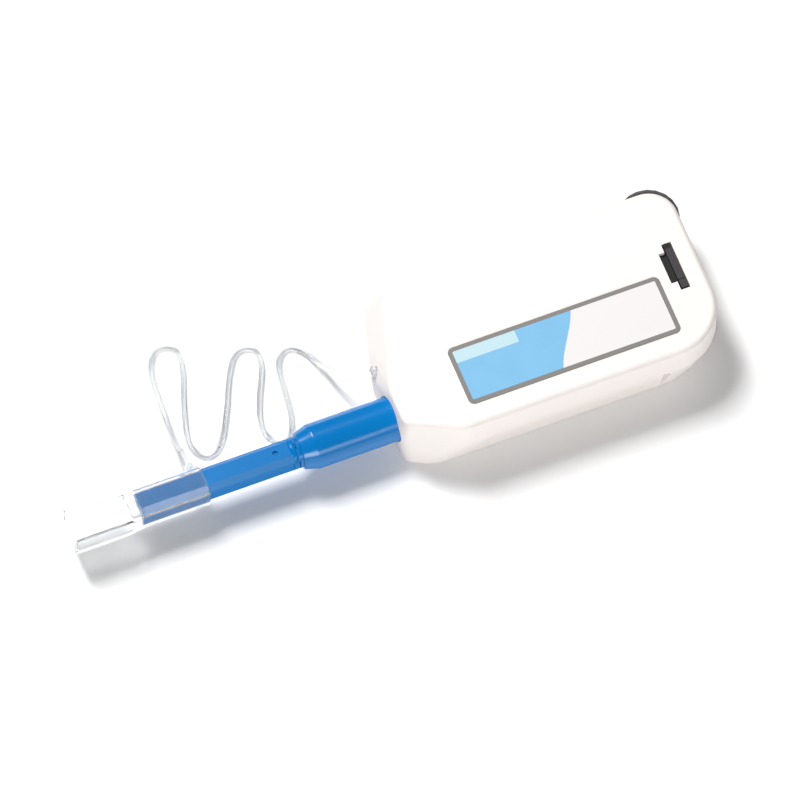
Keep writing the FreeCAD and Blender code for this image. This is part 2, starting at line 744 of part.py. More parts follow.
def make_guide_cap():
    """The clear cap: a square sleeve over the nozzle and a wider socket in front."""
    body = new_body("guide_cap")
    rear = cut_square(sketch_on(body, "rear_section", "YZ_Plane", "-cap_neck"),
                      "cap_rear_width", "cap_chamfer")
    pad(body, "rear", rear, "cap_neck - cap_rear")
    neck = cut_square(sketch_on(body, "neck_section", "YZ_Plane", "-cap_neck"),
                      "cap_rear_width", "cap_chamfer")
    shoulder = cut_square(sketch_on(body, "shoulder_section", "YZ_Plane", "-cap_shoulder"),
                          "cap_front_width", "cap_chamfer")
    loft(body, "shoulder", neck, shoulder)
    front = cut_square(sketch_on(body, "front_section", "YZ_Plane", "-cap_shoulder"),
                       "cap_front_width", "cap_chamfer")
    pad(body, "front", front, "cap_front - cap_shoulder", backwards=True)
    bore = cut_square(sketch_on(body, "bore_section", "YZ_Plane", "-cap_stop"),
                      "tube_width + 2 * running_gap", "tube_chamfer")
    pocket(body, "bore", bore, "cap_stop", along_normal=True)
    socket = cut_square(sketch_on(body, "socket_section", "YZ_Plane", "-cap_stop - cap_stop_thickness"),
                        "cap_front_width - 2 * cap_wall_front", "cap_chamfer * 0.7")
    pocket(body, "socket", socket, "cap_front")
    hole = circle(sketch_on(body, "stop_outline", "YZ_Plane", "-cap_stop + 1"),
                  "0", "0", "cap_stop_bore")
    pocket(body, "stop_hole", hole, "cap_stop_thickness + 2")
    return keep(body, "guide_cap", z="axis_height")


def make_cap_lug():
    """The small moulded eye on the cap's rim that takes the tether."""
    side = "cap_rear_width / 2"
    lug = rod("lug_radius", "lug_reach", "0", "0", "0", "y")
    return keep(lug, "cap_lug", "-lug_place", side, "axis_height")


# ---------------------------------------------------------------- reels and dial

def gear_tooth(body, name, teeth, lift, half_share):
    """One tooth, pointing along the body's X axis, and its copies round the gear."""
    flank = math.tan(math.radians(PITCH_ANGLE * 0.6))
    radius = "(%s) * gear_module / 2" % teeth
    tip_half = "gear_module * %.5f" % (half_share * math.pi - 0.85 * flank)
    root_half = "gear_module * %.5f" % (half_share * math.pi + 1.2 * flank)
    root = "(%s) - 1.35 * gear_module" % radius
    tip = "(%s) + 0.85 * gear_module" % radius
    outline = polygon(sketch_on(body, name + "_outline", "XY_Plane", lift), [
        (root, "-(%s)" % root_half),
        (tip, "-(%s)" % tip_half),
        (tip, tip_half),
        (root, root_half),
    ])
    tooth = pad(body, name, outline, "gear_height")
    pattern = body.newObject("PartDesign::PolarPattern", name + "_ring")
    pattern.Originals = [tooth]
    pattern.Axis = (outline, ["N_Axis"])
    pattern.Angle = 360
    bind(pattern, Occurrences=teeth)
    body.Tip = pattern
    doc.recompute()
    return pattern


def make_supply_reel():
    body = new_body("supply_reel")
    low = "reel_base"
    high = "supply_top"
    profile = polygon(sketch_on(body, "profile", "XZ_Plane"), [
        ("axle_radius + running_gap", low),
        ("flange_radius", low),
        ("flange_radius", "reel_base + flange_thickness"),
        ("hub_radius", "reel_base + flange_thickness"),
        ("hub_radius", "supply_top - flange_thickness"),
        ("flange_radius", "supply_top - flange_thickness"),
        ("flange_radius", high),
        ("axle_radius + running_gap", high),
    ])
    revolve(body, "spool", profile, "V_Axis")
    return keep(body, "supply_reel", "supply_place", "reel_side")


def make_take_up_reel():
    """The take-up reel: a lower flange, a hub and the gear as its upper flange."""
    body = new_body("take_up_reel")
    root = "(reel_teeth - 2.4) * gear_module / 2"
    profile = polygon(sketch_on(body, "profile", "XZ_Plane"), [
        ("axle_radius + running_gap", "reel_base"),
        ("flange_radius", "reel_base"),
        ("flange_radius", "reel_base + flange_thickness"),
        ("hub_radius", "reel_base + flange_thickness"),
        ("hub_radius", "gear_base"),
        (root, "gear_base"),
        (root, "gear_base + gear_height"),
        ("axle_radius + running_gap", "gear_base + gear_height"),
    ])
    revolve(body, "spool", profile, "V_Axis")
    gear_tooth(body, "tooth", "reel_teeth", "gear_base", 0.22)
    turn(body, Z_AXIS, -90)
    return keep(body, "take_up_reel", "body_length - take_up_inset", "reel_side")


def make_winding(label, radius, low, high, place):
    """A roll of cleaning thread round a reel's hub."""
    roll = ring(radius, "hub_radius + running_gap", "(%s) - (%s)" % (high, low), "0", "0", low)
    return keep(roll, label, place, "reel_side")


def dial_turn():
    """Angle of the dial at which its pinion meshes with the take-up reel at rest."""
    along = number("take_up_inset - dial_inset")
    across = number("dial_side - reel_side")
    line = math.degrees(math.atan2(across, along))
    reel_pitch = 360.0 / number("reel_teeth")
    nearest = round((line + 90.0) / reel_pitch) * reel_pitch - 90.0
    slip = (nearest - line) * number("reel_teeth / dial_gear_teeth")
    return line + 180.0 - slip + 180.0 / number("dial_gear_teeth")


def make_take_up_dial():
    """The coarse-toothed thumb dial with its pinion and hub, in one piece."""
    body = new_body("take_up_dial")
    root = circle(sketch_on(body, "pinion_outline", "XY_Plane", "gear_base"),
                  "0", "0", "(dial_gear_teeth - 2.4) * gear_module / 2")
    pad(body, "pinion", root, "gear_height")
    gear_tooth(body, "tooth", "dial_gear_teeth", "gear_base", 0.21)
    wheel_base = "gear_base + gear_height"
    disc = circle(sketch_on(body, "wheel_outline", "XY_Plane", wheel_base),
                  "0", "0", "dial_radius")
    pad(body, "wheel", disc, "dial_thickness")
    top = number("gear_base + gear_height + dial_thickness")
    round_edges(body, "wheel_rim", "0.5", lambda edge: lies_at(edge, top))
    outline = sketch_on(body, "groove_outline", "XY_Plane",
                        "gear_base + gear_height + dial_thickness + 1")
    oblong(outline, "dial_radius - dial_slot_depth", "-dial_slot / 2", "dial_radius + 1", "dial_slot / 2")
    groove = pocket(body, "groove", outline, "dial_thickness + 1")
    pattern = body.newObject("PartDesign::PolarPattern", "grooves")
    pattern.Originals = [groove]
    pattern.Axis = (outline, ["N_Axis"])
    pattern.Angle = 360
    bind(pattern, Occurrences="dial_teeth")
    body.Tip = pattern
    doc.recompute()
    hole = circle(sketch_on(body, "bore_outline", "XY_Plane", "0"),
                  "0", "0", "axle_radius + running_gap")
    pocket(body, "bore", hole, "body_height", along_normal=True)
    turn(body, Z_AXIS, dial_turn())
    return keep(body, "take_up_dial", "body_length - dial_inset", "dial_side")


def make_axles():
    ceiling = "body_height - wall"
    for label, place in (("supply_axle", "supply_place"), ("take_up_axle", "body_length - take_up_inset")):
        axle = rod("axle_radius", "(%s) - base_wall" % ceiling, "0", "0", "0")
        keep(axle, label, place, "reel_side", "base_wall")
    reach = "(%s) + dial_axle_sink - dial_axle_foot" % ceiling
    axle = rod("axle_radius", reach, "0", "0", "0")
    keep(axle, "dial_axle", "body_length - dial_inset", "dial_side", "dial_axle_foot")


def make_brake_washer():
    """The felt washer that keeps the supply reel from running on."""
    low = "base_wall + chassis_thickness"
    washer = ring("washer_radius", "axle_radius + running_gap", "reel_base - (%s)" % low, "0", "0", low)
    return keep(washer, "brake_washer", "supply_place", "reel_side")


def make_ratchet_pawl():
    """The leaf spring that clicks over the take-up reel's teeth."""
    floor = "base_wall + chassis_thickness"
    side = "reel_side + reel_teeth * gear_module / 2 + 0.85 * gear_module + pawl_gap"
    leaf = box("pawl_reach", "pawl_leaf", "gear_height",
               "body_length - take_up_inset - pawl_reach", side, "gear_base")
    heel = box("1", "pawl_heel", "gear_base + gear_height - (%s)" % floor,
               "body_length - take_up_inset - pawl_reach - 1", "(%s) + pawl_leaf - pawl_heel" % side, floor)
    return keep(fuse(leaf, heel), "ratchet_pawl")


# ---------------------------------------------------------------- chassis

def make_inner_chassis():
    """The black inner frame, with the nozzle guide, bulkhead and snap arm."""
    floor = "base_wall + chassis_thickness"
    near = "3 * wall + hollow_gap - near_side"
    far = "far_side - 3 * wall + 0.6 - hollow_gap"
    back = "body_length - hollow_inset - hollow_gap"
    plate_body = new_body("chassis_plate")
    outline = polygon(sketch_on(plate_body, "plate_outline", "XY_Plane", "base_wall"), [
        ("2 * wall + hollow_gap", "hollow_gap - nose_near"),
        ("2 * wall + hollow_gap + nose_taper * (near_side - 3 * wall - nose_near)", near),
        ("(%s) - 3.3" % back, near),
        (back, "(%s) + 6.4" % near),
        (back, "(%s) - 3.6" % far),
        ("(%s) - 3.6" % back, far),
        ("nose_slant * (far_side - nose_far) + 2 * wall + hollow_gap", far),
        ("2 * wall + hollow_gap", "nose_far - 0.5"),
    ])
    pad(plate_body, "plate", outline, "chassis_thickness")
    guide = box("2", "5.2 - (%s)" % near, "arm_base - (%s)" % floor, "2 * wall + 3", near, floor)
    guide_bore = rod("sleeve_radius + running_gap", "4", "2 * wall + 2", "0", "axis_height", "x")
    bulkhead = box("bulkhead_thickness", "arm_far - (%s)" % near,
                   "arm_base + arm_thickness - (%s)" % floor, "bulkhead_place", near, floor)
    journal = rod("shaft_radius + running_gap", "bulkhead_thickness + 2",
                  "bulkhead_place - 1", "0", "axis_height", "x")
    notch = box("bulkhead_thickness + 2", "2.6", "gear_base + gear_height + 0.4 - 3.9",
                "bulkhead_place - 1", "rail_near - 0.3", "3.9")
    arm = box("body_length - latch_inset + latch_bar_width - bulkhead_place", "arm_far - arm_near",
              "arm_thickness", "bulkhead_place", "arm_near", "arm_base")
    stem = box("latch_stem_length + 0.2", "arm_far - arm_near",
               "body_height - latch_stem_drop - arm_base",
               "body_length - latch_inset - latch_stem_length", "arm_near", "arm_base")
    bar = box("latch_bar_width", "latch_bar_length", "2 * wall + latch_bar_rise - 0.1",
              "body_length - latch_inset", "latch_bar_near", "body_height - 2 * wall + 0.1")
    bar_root = box("latch_bar_width", "arm_far - arm_near", "body_height - wall - arm_base",
                   "body_length - latch_inset", "arm_near", "arm_base")
    post = rod("1.8", "0.45", "body_length - take_up_inset", "reel_side", floor)
    solid = fuse(plate_body, guide, bulkhead, arm, stem, bar, bar_root, post)
    holes = [rod("axle_radius + running_gap / 2", "body_height", place, "reel_side", "0")
             for place in ("supply_place", "body_length - take_up_inset")]
    return keep(cut(solid, guide_bore, journal, notch, *holes), "inner_chassis")


def make_guide_pins():
    """Two pins that lead the thread round into the shaft's rear end."""
    floor = "base_wall + chassis_thickness"
    pins = [rod("pin_radius", "pin_height", "shaft_back + 2.4", "2.6", floor),
            rod("pin_radius", "pin_height", "shaft_back + 4.6", "0.8", floor)]
    return keep(fuse(*pins), "thread_guide_pins")


# ---------------------------------------------------------------- thread and tether

def bent_path(points):
    """Straight runs joined by arcs, each as large as its two runs allow."""
    edges = []
    start = points[0]
    radii = []
    for before, corner, after in zip(points, points[1:], points[2:]):
        first = corner - before
        second = after - corner
        turn_angle = first.getAngle(second)
        shorter = min(first.Length, second.Length)
        radius = 0.45 * shorter / math.tan(turn_angle / 2)
        back = 0.45 * shorter
        radii.append(radius)
        enter = corner - FreeCAD.Vector(first).normalize() * back
        leave = corner + FreeCAD.Vector(second).normalize() * back
        inward = (FreeCAD.Vector(second).normalize() - FreeCAD.Vector(first).normalize()).normalize()
        centre_gap = radius / math.cos(turn_angle / 2)
        middle = corner + inward * (centre_gap - radius)
        edges.append(Part.LineSegment(start, enter).toShape())
        edges.append(Part.Arc(enter, middle, leave).toShape())
        start = leave
    edges.append(Part.LineSegment(start, points[-1]).toShape())
    return Part.Wire(edges), radii


def make_strand(label, route, radius):
    """A round strand along a route of points, and what its bends measure."""
    points = [FreeCAD.Vector(*place) for place in route]
    path, radii = bent_path(points)
    along = points[1] - points[0]
    section = Part.Wire(Part.Circle(points[0], along, radius).toShape())
    strand = doc.addObject("Part::Feature", label)
    strand.Shape = path.makePipeShell([section], True, False)
    share = strand.Shape.Volume / (math.pi * radius ** 2 * path.Length)
    print("%s: length %.1f mm, volume share %.4f, least radius %.2f mm, radii %s"
          % (label, path.Length, share, min(radii), ["%.1f" % value for value in radii]))
    return keep(strand, label)


def make_return_spring():
    """The compression spring between the carriage and the bulkhead, with mitred corners."""
    front = number("sleeve_tail + collar_length + spring_wire + 0.05")
    back = number("bulkhead_place - spring_wire - 0.05")
    corners = int(number("spring_turns") * SPRING_CORNERS)
    radius = number("spring_radius") / math.cos(math.pi / SPRING_CORNERS)
    height = number("axis_height")
    route = []
    for index in range(corners + 1):
        angle = 2 * math.pi * index / SPRING_CORNERS
        along = front + (back - front) * index / corners
        route.append(FreeCAD.Vector(along, radius * math.cos(angle), height + radius * math.sin(angle)))
    section = Part.Circle(route[0], route[1] - route[0], number("spring_wire")).toShape()
    spring = doc.addObject("Part::Feature", "return_spring")
    spring.Shape = Part.makePolygon(route).makePipeShell([Part.Wire(section)], True, False, 1)
    return keep(spring, "return_spring")


def make_threads():
    """The thread's runs: from the supply reel into the shaft, and out to the take-up."""
    height = number("reel_base") + number("flange_thickness") + 1.1
    axis = number("axis_height")
    supply = number("supply_place")
    side = number("reel_side")
    back = number("shaft_back")
    feed_side = side - number("supply_wound") - 2.5 * THREAD_RADIUS
    feed = [(supply, feed_side, height), (back - 4, feed_side - 0.05, height),
            (back + 1.5, feed_side - 0.2, height + 0.02), (back + 3.7, feed_side - 1.4, height + 0.2),
            (back + 2.9, 1.0, axis - 0.9), (back + 0.2, 0.22, axis)]
    make_strand("feed_thread", feed, THREAD_RADIUS)
    wound_side = side - number("take_up_wound") - 2.5 * THREAD_RADIUS
    place = number("body_length - take_up_inset")
    rest = [(back + 0.2, -0.22, axis), (back + 3.0, -0.8, axis - 0.5), (back + 5.6, -0.3, height + 0.4),
            (back + 7.6, 2.6, height), (place - 1.6, wound_side - 0.9, height - 0.1),
            (place, wound_side, height - 0.1)]
    make_strand("return_thread", rest, THREAD_RADIUS)


def make_tether():
    """The bead in the housing's front and the cord from it to the cap's lug."""
    body = new_body("tether_bead")
    profile = polygon(sketch_on(body, "profile", "XZ_Plane"), [
        ("-bead_flat", "0"),
        ("-bead_flat", "bead_radius * 0.55"),
        ("-bead_flat * 0.6", "bead_radius * 0.9"),
        ("-bead_flat * 0.1", "bead_radius"),
        ("bead_flat / 2", "bead_radius * 0.8"),
        ("bead_flat / 2", "cord_radius + 0.2"),
        ("bead_stem", "cord_radius + 0.2"),
        ("bead_stem", "0"),
    ])
    revolve(body, "turned", profile, "H_Axis")
    keep(body, "tether_bead", "bead_place", "bead_side", "bead_height")
    make_strand("tether_cord", CORD_ROUTE, number("cord_radius"))


# ---------------------------------------------------------------- the whole pen

make_bottom_shell()
make_top_shell()
make_label()
make_nozzle_sleeve()
make_nozzle_tube()
make_cam_pin()
make_drive_slide()
make_return_spring()
make_tip_shaft()
make_spiral_barrel()
make_tip_head()
make_guide_cap()
make_cap_lug()
make_supply_reel()
make_winding("supply_winding", "supply_wound", "reel_base + flange_thickness + 0.1",
             "supply_top - flange_thickness - 0.1", "supply_place")
make_take_up_reel()
make_winding("take_up_winding", "take_up_wound", "reel_base + flange_thickness + 0.1",
             "gear_base - 0.1", "body_length - take_up_inset")
make_take_up_dial()
make_axles()
make_brake_washer()
make_ratchet_pawl()
make_inner_chassis()
make_guide_pins()
make_threads()
make_tether()
doc.recompute()

for thing in doc.Objects:
    if "Invalid" in thing.State or "Error" in thing.State:
        raise RuntimeError("%s (%s) failed: %s" % (thing.Label, thing.Name, thing.State))
for thing in subparts:
    if thing.Shape.isNull() or not thing.Shape.isValid():
        raise RuntimeError("%s has no valid shape" % thing.Label)

os.makedirs("parts", exist_ok=True)
for thing in subparts:
    thing.Shape.exportStep("parts/%s.step" % thing.Label)
    bounds = thing.Shape.BoundBox
    print("%-18s solids %d, volume %9.3f, x %.2f to %.2f, y %.2f to %.2f, z %.2f to %.2f" % (
        thing.Label, len(thing.Shape.Solids), thing.Shape.Volume, bounds.XMin, bounds.XMax,
        bounds.YMin, bounds.YMax, bounds.ZMin, bounds.ZMax))
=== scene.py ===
"""Dress the fibre connector cleaning pen: an ivory body, a blue nozzle and a clear guide cap."""
import math

import bpy
from mathutils import Matrix, Vector


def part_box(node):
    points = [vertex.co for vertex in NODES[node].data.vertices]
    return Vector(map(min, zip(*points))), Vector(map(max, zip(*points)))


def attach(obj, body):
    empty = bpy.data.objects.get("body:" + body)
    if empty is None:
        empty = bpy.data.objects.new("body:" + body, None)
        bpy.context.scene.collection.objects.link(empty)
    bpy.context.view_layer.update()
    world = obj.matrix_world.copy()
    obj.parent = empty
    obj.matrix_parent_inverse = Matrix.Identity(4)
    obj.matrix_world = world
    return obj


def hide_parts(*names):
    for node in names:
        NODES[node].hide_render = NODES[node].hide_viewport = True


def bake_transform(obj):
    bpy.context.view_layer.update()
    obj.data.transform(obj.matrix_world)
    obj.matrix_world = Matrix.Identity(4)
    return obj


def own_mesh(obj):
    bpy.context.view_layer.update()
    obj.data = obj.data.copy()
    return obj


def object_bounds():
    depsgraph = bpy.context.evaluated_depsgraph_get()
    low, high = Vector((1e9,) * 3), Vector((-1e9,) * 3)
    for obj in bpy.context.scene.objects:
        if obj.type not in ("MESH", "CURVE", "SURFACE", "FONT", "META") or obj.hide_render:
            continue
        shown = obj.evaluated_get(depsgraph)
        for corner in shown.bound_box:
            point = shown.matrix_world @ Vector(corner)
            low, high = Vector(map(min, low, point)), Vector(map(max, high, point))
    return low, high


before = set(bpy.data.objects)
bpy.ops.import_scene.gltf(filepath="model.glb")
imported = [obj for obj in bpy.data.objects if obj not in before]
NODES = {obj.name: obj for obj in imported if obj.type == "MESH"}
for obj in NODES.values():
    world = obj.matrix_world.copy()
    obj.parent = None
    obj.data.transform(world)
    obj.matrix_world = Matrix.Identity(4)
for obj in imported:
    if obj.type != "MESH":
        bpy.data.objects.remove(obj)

bl_info = {
    "name": "Fibre Cleaning Pen",
    "version": (1, 0, 0),
    "blender": (4, 5, 0),
    "location": "3D View > Sidebar > Cleaning Pen",
    "description": "Builds the finished pieces of a fibre connector cleaning pen on its frame",
    "category": "Object",
}

CAD_BOX = [list(corner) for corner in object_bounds()]

# Route of the tether in mm, from the bead down to the floor and round to the lug on the cap.
# X is counted from the body's front face, Y from the nozzle's axis and Z from the floor.
TETHER_ROUTE = [
    (-0.2, 7.8, 8.7), (-2.4, 7.9, 8.1), (-4.3, 11.0, 4.4), (-5.7, 15.6, 1.2),
    (-6.9, 19.0, 0.5), (-9.2, 21.2, 0.5), (-11.7, 19.2, 0.5), (-12.4, 14.6, 0.5),
    (-12.9, 9.8, 0.5), (-14.2, 6.0, 0.5), (-17.0, 5.4, 0.5), (-18.6, 8.4, 0.5),
    (-16.9, 13.8, 0.5), (-14.0, 19.2, 0.5), (-14.0, 22.8, 0.5), (-17.0, 23.6, 0.5),
    (-19.6, 19.8, 0.5), (-22.4, 13.6, 0.5), (-25.1, 8.6, 0.5), (-28.1, 6.9, 0.5),
    (-30.4, 9.8, 0.5), (-28.6, 16.6, 0.5), (-25.9, 23.4, 0.5), (-25.6, 27.2, 0.5),
    (-28.4, 28.8, 0.5), (-31.0, 25.6, 0.5), (-31.6, 19.6, 0.6), (-32.0, 13.8, 1.2),
    (-32.4, 9.4, 3.2), (-32.5, 6.4, 6.3), (-32.5, 3.9, 6.3),
]
BODY_RUN_POINTS = 19
HALF_BODY = 27.5
MM = 0.001

# The camera, read from the photograph.
VIEW_BACK = (-0.169, -0.428, 0.888)
VIEW_RIGHT = (0.930, -0.368, 0.0)
VIEW_TARGET = (-0.0259, -0.0004, 0.0126)

# Each lamp's name, place, width and height, and power in watts.
LAMPS = (
    ("key_light", (-0.13, 0.36, 0.60), (0.20, 0.30), 6.0),
    ("front_light", (-0.20, -0.72, 0.30), (0.6, 0.3), 4.4),
)
LAMP_TARGET = (-0.02, 0.0, 0.0)
FLOOR_GREY = 0.97
FLOOR_GLOW = 0.05
WORLD_LIGHT = 0.06

LABEL_WHITE = (0.75, 0.73, 0.72)
LABEL_STRIP = (0.48, 0.66, 0.72)
ACETAL_WHITE = (0.80, 0.80, 0.78)
FIBRE_WHITE = (0.88, 0.89, 0.90)
FELT_GREY = (0.30, 0.29, 0.27)


class PenSizes(bpy.types.PropertyGroup):
    """Sizes of the finished pieces that a user may change."""
    cord_diameter: bpy.props.FloatProperty(
        name="Cord Diameter", description="Thickness of the clear tether cord",
        default=0.0008, min=0.0004, max=0.002, unit="LENGTH", precision=5)
    label_border: bpy.props.FloatProperty(
        name="Label Border", description="Width of the grey line round the label",
        default=0.00075, min=0.0, max=0.003, unit="LENGTH", precision=5)
    camera_distance: bpy.props.FloatProperty(
        name="Camera Distance", description="From the lens to the middle of the pen",
        default=3.0, min=0.2, max=5.0, unit="LENGTH")
    view_width: bpy.props.FloatProperty(
        name="View Width", description="Width that the camera sees at the pen",
        default=0.1262, min=0.05, max=1.0, unit="LENGTH", precision=4)


class PenColours(bpy.types.PropertyGroup):
    """Colours of the finished pieces that a user may change."""
    ivory: bpy.props.FloatVectorProperty(
        name="Ivory", description="Moulded body", subtype="COLOR", size=3,
        default=(0.84, 0.785, 0.755), min=0.0, max=1.0)
    blue: bpy.props.FloatVectorProperty(
        name="Blue", description="Nozzle sleeve and tube", subtype="COLOR", size=3,
        default=(0.001, 0.165, 0.47), min=0.0, max=1.0)
    label_blue: bpy.props.FloatVectorProperty(
        name="Label Blue", description="Left field of the label", subtype="COLOR", size=3,
        default=(0.20, 0.46, 0.70), min=0.0, max=1.0)
    label_grey: bpy.props.FloatVectorProperty(
        name="Label Grey", description="Line round the label", subtype="COLOR", size=3,
        default=(0.22, 0.21, 0.20), min=0.0, max=1.0)
    graphite: bpy.props.FloatVectorProperty(
        name="Graphite", description="Dial and inner frame", subtype="COLOR", size=3,
        default=(0.012, 0.011, 0.012), min=0.0, max=1.0)


# ------------------------------------------------------------------ shared helpers

def deselect_everything():
    """Leave edit mode and select nothing."""
    if bpy.context.object and bpy.context.object.mode != "OBJECT":
        bpy.ops.object.mode_set(mode="OBJECT")
    bpy.ops.object.select_all(action="DESELECT")


def pick(thing):
    """Make one object the only selected and the active one."""
    deselect_everything()
    thing.select_set(True)
    bpy.context.view_layer.objects.active = thing


def select_none(kind):
    """Clear the active mesh's selection, ready for vertices or faces to be chosen."""
    bpy.ops.object.mode_set(mode="EDIT")
    bpy.ops.mesh.select_mode(type=kind)
    bpy.ops.mesh.select_all(action="DESELECT")
    bpy.ops.object.mode_set(mode="OBJECT")


def select_mesh():
    """Enter edit mode with the whole of the active mesh selected."""
    bpy.ops.object.mode_set(mode="EDIT")
    bpy.ops.mesh.select_all(action="SELECT")


def stand_section(offset):
    """Turn the selected flat section upright, move it off the axis and leave edit mode."""
    bpy.ops.transform.rotate(value=math.pi / 2, orient_axis="X",
                             center_override=(0.0, 0.0, 0.0))
    bpy.ops.transform.translate(value=offset)
    bpy.ops.object.mode_set(mode="OBJECT")


def sweep(thing, steps, **settings):
    """Turn a section round an axis by a screw modifier."""
    screw = thing.modifiers.new("screw", "SCREW")
    screw.steps = steps
    screw.render_steps = steps
    screw.use_normal_calculate = True
    for name, value in settings.items():
        setattr(screw, name, value)
    bpy.ops.object.modifier_apply(modifier="screw")


def bevel(thing, width, segments):
    """Round the edges by a bevel modifier."""
    edge = thing.modifiers.new("edge", "BEVEL")
    edge.width = width
    edge.segments = segments
    bpy.ops.object.modifier_apply(modifier="edge")


def settle():
    """Take the active object's place, turn and scale into its mesh."""
    bpy.ops.object.transform_apply(location=True, rotation=True, scale=True)


def paint(thing, material):
    """Give an object one material in all its slots."""
    thing.data.materials.clear()
    thing.data.materials.append(material)


def node_tree(name):
    """A new material, its tree and its shader."""
    material = bpy.data.materials.new(name)
    material.use_nodes = True
    tree = material.node_tree
    return material, tree, tree.nodes["Principled BSDF"]


def object_place(tree, scale):
    """Object coordinates, scaled for a pattern."""
    place = tree.nodes.new("ShaderNodeTexCoord")
    mapping = tree.nodes.new("ShaderNodeMapping")
    mapping.inputs["Scale"].default_value = scale
    tree.links.new(place.outputs["Object"], mapping.inputs["Vector"])
    return mapping.outputs["Vector"]


def object_axes(tree):
    """Object coordinates, whole and split into X, Y and Z."""
    place = tree.nodes.new("ShaderNodeTexCoord").outputs["Object"]
    split = tree.nodes.new("ShaderNodeSeparateXYZ")
    tree.links.new(place, split.inputs["Vector"])
    return place, split.outputs


def noise(tree, vector, scale, detail=4.0, rough=0.55):
    """A cloudy pattern from 0 to 1."""
    texture = tree.nodes.new("ShaderNodeTexNoise")
    texture.inputs["Scale"].default_value = scale
    texture.inputs["Detail"].default_value = detail
    texture.inputs["Roughness"].default_value = rough
    tree.links.new(vector, texture.inputs["Vector"])
    return texture.outputs["Fac"]


def ramp(tree, factor, stops):
    """A colour ramp with (place, colour) stops."""
    node = tree.nodes.new("ShaderNodeValToRGB")
    band = node.color_ramp
    while len(band.elements) < len(stops):
        band.elements.new(0.5)
    for element, (place, colour) in zip(band.elements, stops):
        element.position = place
        element.color = (*colour, 1.0)
    tree.links.new(factor, node.inputs["Fac"])
    return node.outputs["Color"]


def level(tree, factor, low, high):
    """Map a 0 to 1 factor to a range."""
    node = tree.nodes.new("ShaderNodeMapRange")
    node.inputs["To Min"].default_value = low
    node.inputs["To Max"].default_value = high
    tree.links.new(factor, node.inputs["Value"])
    return node.outputs["Result"]


def bump(tree, shader, height, strength, distance):
    """Tilt the shader's surface by a height pattern."""
    node = tree.nodes.new("ShaderNodeBump")
    node.inputs["Strength"].default_value = strength
    node.inputs["Distance"].default_value = distance
    tree.links.new(height, node.inputs["Height"])
    tree.links.new(node.outputs["Normal"], shader.inputs["Normal"])


def reckon(tree, operation, first, second=None):
    """One sum on sockets or numbers."""
    node = tree.nodes.new("ShaderNodeMath")
    node.operation = operation
    for index, value in enumerate((first, second)):
        if value is None:
            continue
        if isinstance(value, (int, float)):
            node.inputs[index].default_value = value
        else:
            tree.links.new(value, node.inputs[index])
    return node.outputs["Value"]


def mixed(tree, factor, under, over):
    """One colour laid over another, where each is a colour or a socket."""
    mix = tree.nodes.new("ShaderNodeMix")
    mix.data_type = "RGBA"
    tree.links.new(factor, mix.inputs["Factor"])
    for socket, value in zip((mix.inputs[6], mix.inputs[7]), (under, over)):
        if isinstance(value, tuple):
            socket.default_value = (*value, 1.0)
        else:
            tree.links.new(value, socket)
    return mix.outputs[2]


def shade(colour, factor):
    """A colour made lighter or darker."""
    return tuple(min(1.0, channel * factor) for channel in colour)


def moulded(name, colour, roughness, grain=2200.0, mottle=0.04, bump_strength=0.12, shine=0.5):
    """Moulded plastic: a faint mottle, a fine spark-eroded grain and uneven gloss."""
    material, tree, shader = node_tree(name)
    place = object_place(tree, (1.0, 1.0, 1.0))
    cloud = noise(tree, place, 90.0)
    colours = ramp(tree, cloud, [(0.3, shade(colour, 1.0 - mottle)),
                                 (0.7, shade(colour, 1.0 + mottle))])
    tree.links.new(colours, shader.inputs["Base Color"])
    fine = noise(tree, place, grain, detail=3.0)
    tree.links.new(level(tree, fine, roughness - 0.05, roughness + 0.06),
                   shader.inputs["Roughness"])
    bump(tree, shader, fine, bump_strength, 0.00002)
    shader.inputs["IOR"].default_value = 1.5
    shader.inputs["Specular IOR Level"].default_value = shine
    return material


def cloth(name, colour, scale):
    """Thread or felt: crossed fibres with a soft sheen."""
    material, tree, shader = node_tree(name)
    place = object_place(tree, (1.0, 1.0, 1.0))
    wave = tree.nodes.new("ShaderNodeTexWave")
    wave.inputs["Scale"].default_value = scale
    wave.inputs["Distortion"].default_value = 1.5
    wave.bands_direction = "Z"
    tree.links.new(place, wave.inputs["Vector"])
    colours = ramp(tree, wave.outputs["Fac"], [(0.2, shade(colour, 0.8)), (0.8, colour)])
    tree.links.new(colours, shader.inputs["Base Color"])
    shader.inputs["Roughness"].default_value = 0.85
    shader.inputs["Sheen Weight"].default_value = 0.3
    bump(tree, shader, wave.outputs["Fac"], 0.4, 0.00005)
    return material


def steel(name):
    """Drawn steel with fine lengthwise lines."""
    material, tree, shader = node_tree(name)
    place = object_place(tree, (1.0, 1.0, 12.0))
    lines = noise(tree, place, 900.0)
    tree.links.new(ramp(tree, lines, [(0.3, (0.45, 0.46, 0.48)), (0.7, (0.62, 0.63, 0.65))]),
                   shader.inputs["Base Color"])
    tree.links.new(level(tree, lines, 0.22, 0.38), shader.inputs["Roughness"])
    shader.inputs["Metallic"].default_value = 1.0
    return material


def clear(name, colour, roughness, veil, bend=1.45, shine=0.5):
    """Clear plastic with a slight milky veil."""
    material, tree, shader = node_tree(name)
    place = object_place(tree, (1.0, 1.0, 1.0))
    haze = noise(tree, place, 260.0)
    tree.links.new(ramp(tree, haze, [(0.3, shade(colour, 0.985)), (0.7, colour)]),
                   shader.inputs["Base Color"])
    tree.links.new(level(tree, haze, roughness, roughness + 0.03), shader.inputs["Roughness"])
    shader.inputs["Transmission Weight"].default_value = 1.0 - veil
    shader.inputs["IOR"].default_value = bend
    shader.inputs["Specular IOR Level"].default_value = shine
    return material


# ------------------------------------------------------------------ stage

